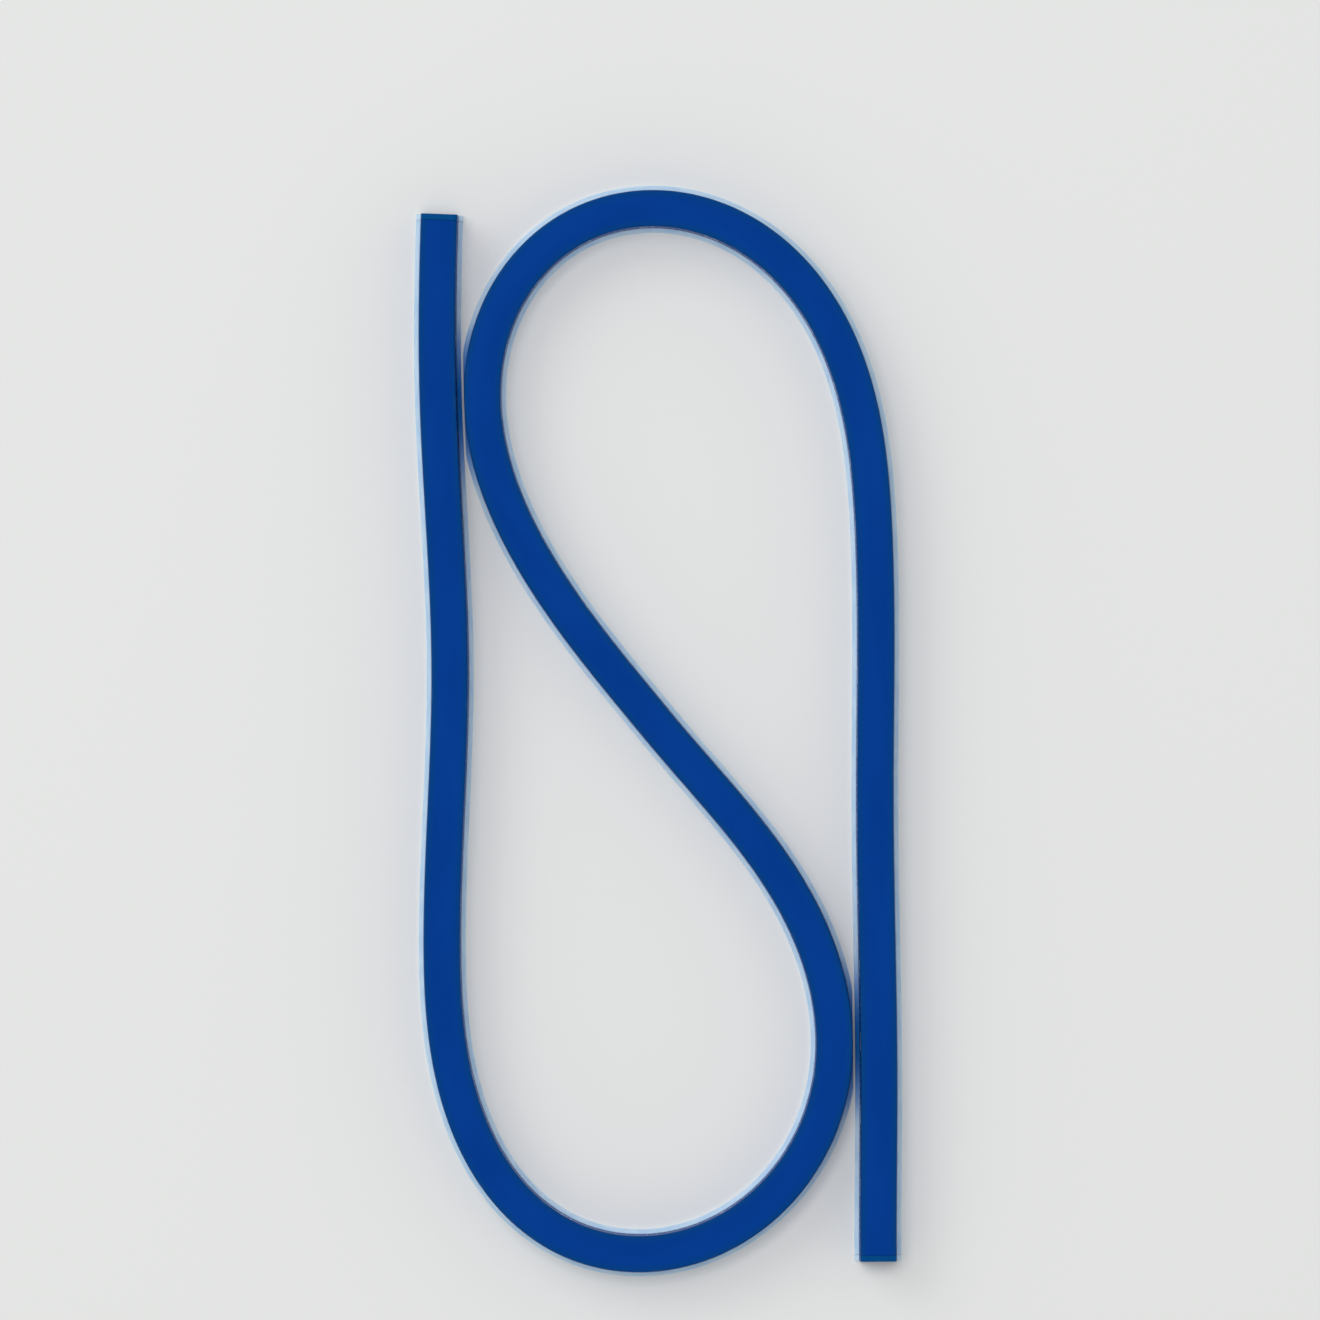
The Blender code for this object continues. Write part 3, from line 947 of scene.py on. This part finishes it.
ink_material = ink()
for name, sizes in SCALES.items():
    printed = [print_scale(name, run, **sizes) for run in range(RUNS)]
    for run, piece in enumerate(printed):
        bend_over_hinge(piece, run)
    print(f"{name} scale: {len(printed)} pieces, {triangles(printed)} triangles")

# %% [markdown]
# The lead bar keeps the shape that the hand gives it, and the two strips of spring steel beside it spread
# each bend, so that the ruler curves fairly instead of kinking. They are hidden in the closed ruler, but
# whoever takes the sheath off finds them, so they get their own surfaces: lead with its dull grey bloom,
# steel with the fine lines of rolling.

# %% Metals
LEAD = (0.30, 0.31, 0.33)
LEAD_BLOOM = (0.46, 0.47, 0.49)
STEEL = (0.50, 0.51, 0.53)
STEEL_LINE = (0.62, 0.63, 0.64)
BLOOM = ((0.5, 0.9, 0.9), 5.0)
BLOOM_EDGES = (0.4, 0.65)
DULL_EDGES = (0.5, 0.7)
DENTS = ((1.2, 2.0, 2.0), 3.0)
DENT_DEPTH = 0.03 * MM
LEAD_ROUGHNESS = (0.45, 0.75)
LEAD_METALLIC = (1.0, 0.5)
ROLLING_LINES = ((0.02, 1.0, 14.0), 4.0)
ROLLING_DEPTH = 0.004 * MM
STEEL_ROUGHNESS = (0.2, 0.4)


def lead_surface():
    """Soft lead under patches of pale bloom."""
    material, graph, shader = new_material("lead")
    place = straight_millimetres(graph)
    bloom = noise(graph, place, *BLOOM)
    dull = fade(graph, bloom, *DULL_EDGES)
    dents = noise(graph, place, *DENTS)
    plug_in(graph, shader, Base_Color=mix(graph, fade(graph, bloom, *BLOOM_EDGES), LEAD, LEAD_BLOOM),
            Roughness=from_to(bloom, *LEAD_ROUGHNESS), Metallic=from_to(dull, *LEAD_METALLIC),
            Normal=bump(graph, dents, DENT_DEPTH))
    return finished(material)


def steel_surface():
    """Steel with the fine lines of rolling along it."""
    material, graph, shader = new_material("spring_steel")
    lines = noise(graph, straight_millimetres(graph), *ROLLING_LINES)
    plug_in(graph, shader, Base_Color=mix(graph, lines, STEEL, STEEL_LINE), Metallic=1.0,
            Roughness=from_to(lines, *STEEL_ROUGHNESS), Normal=bump(graph, lines, ROLLING_DEPTH))
    return finished(material)


lead_material, steel_material = lead_surface(), steel_surface()

# %% Lead bar and steel strips
FIT_GAP = 0.15 * MM
STRIP_THICKNESS = 0.3 * MM
STRIP_ROUNDING = 0.06 * MM
LEAD_ROUNDING = 0.25 * MM
PLUG_SPIGOT = 4.0 * MM
SEAT_GAP = 0.3 * MM
METAL_STEP = 0.9 * MM

fill_start = PLUG_PLATE + PLUG_SPIGOT + SEAT_GAP
fill_bottom, fill_top = FLOOR_WALL + FIT_GAP, CHANNEL_TOP - FIT_GAP
strip_outer = CHANNEL_HALF - FIT_GAP
strip_inner = strip_outer - STRIP_THICKNESS
lead_half = strip_inner - FIT_GAP


def box_outline(right, left, radius):
    """A rounded rectangle as high as the filling of the channel."""
    return rounded([(right, fill_bottom, radius), (right, fill_top, radius),
                    (left, fill_top, radius), (left, fill_bottom, radius)])


lay_runs("lead_bar", "core_link_{:02d}", [box_outline(lead_half, -lead_half, LEAD_ROUNDING)], fill_start,
         METAL_STEP, lead_material)
for hand, sides in {"left": (strip_outer, strip_inner), "right": (-strip_inner, -strip_outer)}.items():
    lay_runs(f"{hand}_strip", f"steel_strip_{hand}", [box_outline(*sides, STRIP_ROUNDING)], fill_start,
             METAL_STEP, steel_material)

# %% [markdown]
# A plug closes each end: a plate as large as the section, with a spigot that fills the channel's mouth.
# In the photograph a slightly lighter band crosses the very end of the strand, which is the plate's edge
# seen from above. The plate is lofted through rings that draw in towards its face, which rounds its rim,
# and a shallow round mark in the face is where the plastic entered the mould.

# %% Plug plastic
PLUG_BLUE = (0.0005, 0.060, 0.225)
PLUG_BLUE_LIGHT = (0.001, 0.072, 0.250)
FLOW = ((0.5, 0.5, 0.5), 3.0)
FLOW_EDGES = (0.35, 0.65)
PLUG_GRAIN = ((9.0, 9.0, 9.0), 2.0)
PLUG_GRAIN_DEPTH = 0.008 * MM
PLUG_ROUGHNESS = (0.3, 0.45)


def plug_plastic():
    """Moulded plastic, a little greener than the sheath, with the same pale lips."""
    material, graph, shader = new_material("plug_plastic")
    place = straight_millimetres(graph)
    flow = noise(graph, place, *FLOW)
    grain = noise(graph, place, *PLUG_GRAIN)
    _, side, height = graph.split(place)
    blue = mix(graph, fade(graph, flow, *FLOW_EDGES), PLUG_BLUE, PLUG_BLUE_LIGHT)
    plug_in(graph, shader, Base_Color=mix(graph, lip_mask(graph, side, height), blue, PALE_LIP),
            Roughness=from_to(flow, *PLUG_ROUGHNESS), Normal=bump(graph, grain, PLUG_GRAIN_DEPTH),
            Specular_IOR_Level=VINYL_SPECULAR, Specular_Tint=VINYL_SHEEN_TINT)
    return finished(material)


plug_material = plug_plastic()

# %% Rings and faces of a plug
PLATE_ROUNDING = 0.12 * MM
PLATE_ROUNDING_STEPS = 4
GATE_RADIUS = 0.7 * MM
GATE_DEPTH = 0.12 * MM
GATE_POINTS = 32
DISH_SHARES = (1.0, 0.9, 0.7, 0.4)
SPIGOT_ROUNDING = 0.2 * MM
SPIGOT_LEAD_IN = 0.35 * MM


class PlugMesh:
    """Rings of the plug, placed by how far they lie inwards from the ruler's end."""

    def __init__(self, at_left):
        self.mesh = bmesh.new()
        self.straight = self.mesh.verts.layers.float_vector.new("straight")
        self.at_left = at_left

    def ring(self, outline, inwards):
        """Points round an outline at a distance from the ruler's end."""
        s = inwards if self.at_left else RULER_LENGTH - inwards
        made = []
        for side, height in outline:
            point = self.mesh.verts.new(at(s, side, height))
            point[self.straight] = (s, side, height)
            made.append(point)
        return made

    def skin(self, rings):
        """Faces between rings that follow each other."""
        for here, there in zip(rings, rings[1:]):
            for i, corner in enumerate(here):
                self.mesh.faces.new((here[i - 1], corner, there[i], there[i - 1]))

    def flat(self, outer, inner):
        """A flat face between two rings."""
        pairs = [(ring[i - 1], ring[i]) for ring in (outer, inner) for i in range(len(ring))]
        edges = [self.mesh.edges.get(pair) for pair in pairs]
        bmesh.ops.triangle_fill(self.mesh, edges=edges, use_beauty=True)


def drawn_in(outline, inset):
    """An outline drawn in towards its middle by about the same amount all round."""
    sides, heights = zip(*outline)
    middle = (max(heights) + min(heights)) / 2
    wide, tall = 1 - inset / max(sides), 1 - inset / (max(heights) - middle)
    return [(side * wide, middle + (height - middle) * tall) for side, height in outline]


# %% Plate, gate mark and spigot
def plate_rings(plug):
    """The plate, from its face to its back, with a rounded rim at the face."""
    turns = np.linspace(pi / 2, 0, PLATE_ROUNDING_STEPS + 1)
    rings = [plug.ring(drawn_in(sheath_outline, PLATE_ROUNDING * (1 - cos(turn))),
                       PLATE_ROUNDING * (1 - sin(turn))) for turn in turns]
    return [*rings, plug.ring(sheath_outline, PLUG_PLATE)]


def gate_rings(plug):
    """The shallow mark in the face, from its rim to its middle."""
    turns = np.linspace(0, 2 * pi, GATE_POINTS, endpoint=False)
    rings = []
    for share in DISH_SHARES:
        radius = share * GATE_RADIUS
        circle = [(radius * cos(turn), HEIGHT / 2 + radius * sin(turn)) for turn in turns]
        rings.append(plug.ring(circle, GATE_DEPTH * (1 - share ** 2)))
    return rings


def spigot_rings(plug):
    """The spigot, from the plate to its tapered tip."""
    spigot = box_outline(strip_outer, -strip_outer, SPIGOT_ROUNDING)
    tip = PLUG_PLATE + PLUG_SPIGOT
    return [plug.ring(spigot, PLUG_PLATE), plug.ring(spigot, tip - SPIGOT_LEAD_IN),
            plug.ring(drawn_in(spigot, SPIGOT_LEAD_IN / 2), tip)]


# %% End plugs
def end_plug(name, at_left, body):
    """One plug as a closed mesh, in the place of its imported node."""
    plug = PlugMesh(at_left)
    plate, gate, spigot = plate_rings(plug), gate_rings(plug), spigot_rings(plug)
    for rings in (plate, gate, spigot):
        plug.skin(rings)
    plug.flat(plate[0], gate[0])
    plug.flat(plate[-1], spigot[0])
    for last in (gate[-1], spigot[-1]):
        plug.mesh.faces.new(last)
    mesh = bpy.data.meshes.new(name)
    plug.mesh.to_mesh(mesh)
    plug.mesh.free()
    mesh.materials.append(plug_material)
    print(f"{name}: {len(mesh.vertices)} points, {tidy_mesh(mesh)} open edges")
    piece = in_scene(name, mesh)
    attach(piece, body)
    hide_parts(name.replace("dressed_", ""))


end_plug("dressed_end_plug_left", True, "link_01")
end_plug("dressed_end_plug_right", False, f"link_{len(middles):02d}")

# %% [markdown]
# The line was only a guide, so it goes.

# %% Remove the guide
bpy.data.objects.remove(line, do_unlink=True)

# %% [markdown]
# The studio is plain: a pale floor, two soft lamps and an even fill from all round. Together they light
# a surface that faces up at a level of one, at which a colour renders about as it is written. The front
# lamp hangs near the camera, a little to the upper left, which keeps the shadows as short as they are in
# the photograph. It is kept out of reflections, as a polarising filter does in a real studio, because
# it would lay a white veil on the flat top. The side lamp gives the edges their gloss. The camera sees a
# pale backdrop. Reflections see it too, but darkening overhead, like the ceiling of a studio. The world
# isn't sampled as a lamp, because such a sample would show a glossy surface the fill, not the backdrop.
#
# The floor reaches far past the lamps' light, and from a low angle its dark distance would show. Away
# from the ruler it therefore fades, for the camera alone, into the even tone of the backdrop.

# %% Floor
FLOOR_SIZE = 60
FLOOR_DROP = 0.02 * MM
FLOOR_FADE = (0.5, 1.6)
PALE = (0.80, 0.81, 0.80)


def pale_floor():
    """A wide floor that fades, for the camera alone, into the backdrop."""
    mesh = bpy.data.meshes.new("floor")
    half = FLOOR_SIZE / 2
    corners = [(x, y, -FLOOR_DROP) for x, y in ((-half, -half), (half, -half), (half, half), (-half, half))]
    mesh.from_pydata(corners, [], [(0, 1, 2, 3)])
    material, graph, shader = new_material("pale_floor")
    plug_in(graph, shader, Base_Color=(*PALE, 1), Specular_IOR_Level=0.0)
    distance = graph.vector("LENGTH", graph.add("ShaderNodeTexCoord")["Object"])["Value"]
    for_camera = graph.add("ShaderNodeLightPath")["Is Camera Ray"]
    far = fade(graph, distance, *FLOOR_FADE) * for_camera
    even = graph.add("ShaderNodeEmission", {"Color": (*PALE, 1), "Strength": 1.0})
    both = graph.add("ShaderNodeMixShader", {0: far, 1: Wire(graph, shader.outputs[0]), 2: even})
    graph.feed(graph.tree.nodes["Material Output"].inputs["Surface"], both)
    mesh.materials.append(finished(material))
    floor = in_scene("floor", mesh)
    floor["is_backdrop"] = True


pale_floor()

# %% Lamps
LAMP_DISTANCE = 2.4
LAMPS = {
    "front_lamp": {"share": 0.48, "towards": (-0.08, 0.08, 1.0), "size": 0.9},
    "side_lamp": {"share": 0.12, "towards": (-0.75, 0.65, 0.95), "size": 1.4},
}


def lamp(name, share, towards, size):
    """An area lamp that gives its share of the light on a level surface."""
    towards = Vector(towards).normalized()
    data = bpy.data.lights.new(name, "AREA")
    data.size = size
    data.energy = share * pi ** 2 * LAMP_DISTANCE ** 2 / towards.z
    made = in_scene(name, data)
    made.location = towards * LAMP_DISTANCE
    made.rotation_euler = towards.to_track_quat("Z", "Y").to_euler()
    made.visible_camera = False
    print(f"{name}: {data.energy:.1f} W for {share:.0%} of the light")
    return made


lamps = {name: lamp(name, **sizes) for name, sizes in LAMPS.items()}
lamps["front_lamp"].visible_glossy = False
fill_share = 1 - sum(sizes["share"] for sizes in LAMPS.values())

# %% World
OVERHEAD = (0.05, 0.052, 0.055)
OVERHEAD_FADE = (0.03, 0.35)


def studio_world():
    """Even fill for matt surfaces, and a pale backdrop for the camera and for reflections."""
    world = bpy.data.worlds.new("studio")
    world.use_nodes = True
    world.node_tree.nodes.clear()
    graph = Graph(world.node_tree)
    _, _, up = graph.split(graph.add("ShaderNodeTexCoord")["Generated"])
    path = graph.add("ShaderNodeLightPath")
    mirrored = path["Is Glossy Ray"]
    backdrop = mix(graph, fade(graph, up, *OVERHEAD_FADE) * mirrored, PALE, OVERHEAD)
    seen = graph.math("MAXIMUM", path["Is Camera Ray"], mirrored)
    seen = graph.math("MAXIMUM", seen, path["Is Transmission Ray"])
    fill = graph.add("ShaderNodeBackground", {"Color": (1, 1, 1, 1), "Strength": fill_share})
    shown = graph.add("ShaderNodeBackground", {"Color": backdrop, "Strength": 1.0})
    both = graph.add("ShaderNodeMixShader", {0: seen, 1: fill, 2: shown})
    graph.add("ShaderNodeOutputWorld", {"Surface": both})
    world.cycles.sampling_method = "NONE"
    bpy.context.scene.world = world
    print(f"{world.name}: {fill_share:.0%} of the light")


studio_world()
bpy.context.scene.view_settings.view_transform = "Standard"

# %% [markdown]
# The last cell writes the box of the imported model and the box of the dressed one, which should agree,
# and hands the scene over.

# %% Compare the boxes and finish
dressed_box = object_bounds()
boxes = {"cad": [list(corner) for corner in cad_box], "dressed": [list(corner) for corner in dressed_box]}
for name, (low, high) in boxes.items():
    print(name, *(f"{(b - a) / MM:.2f}" for a, b in zip(low, high)), "mm")
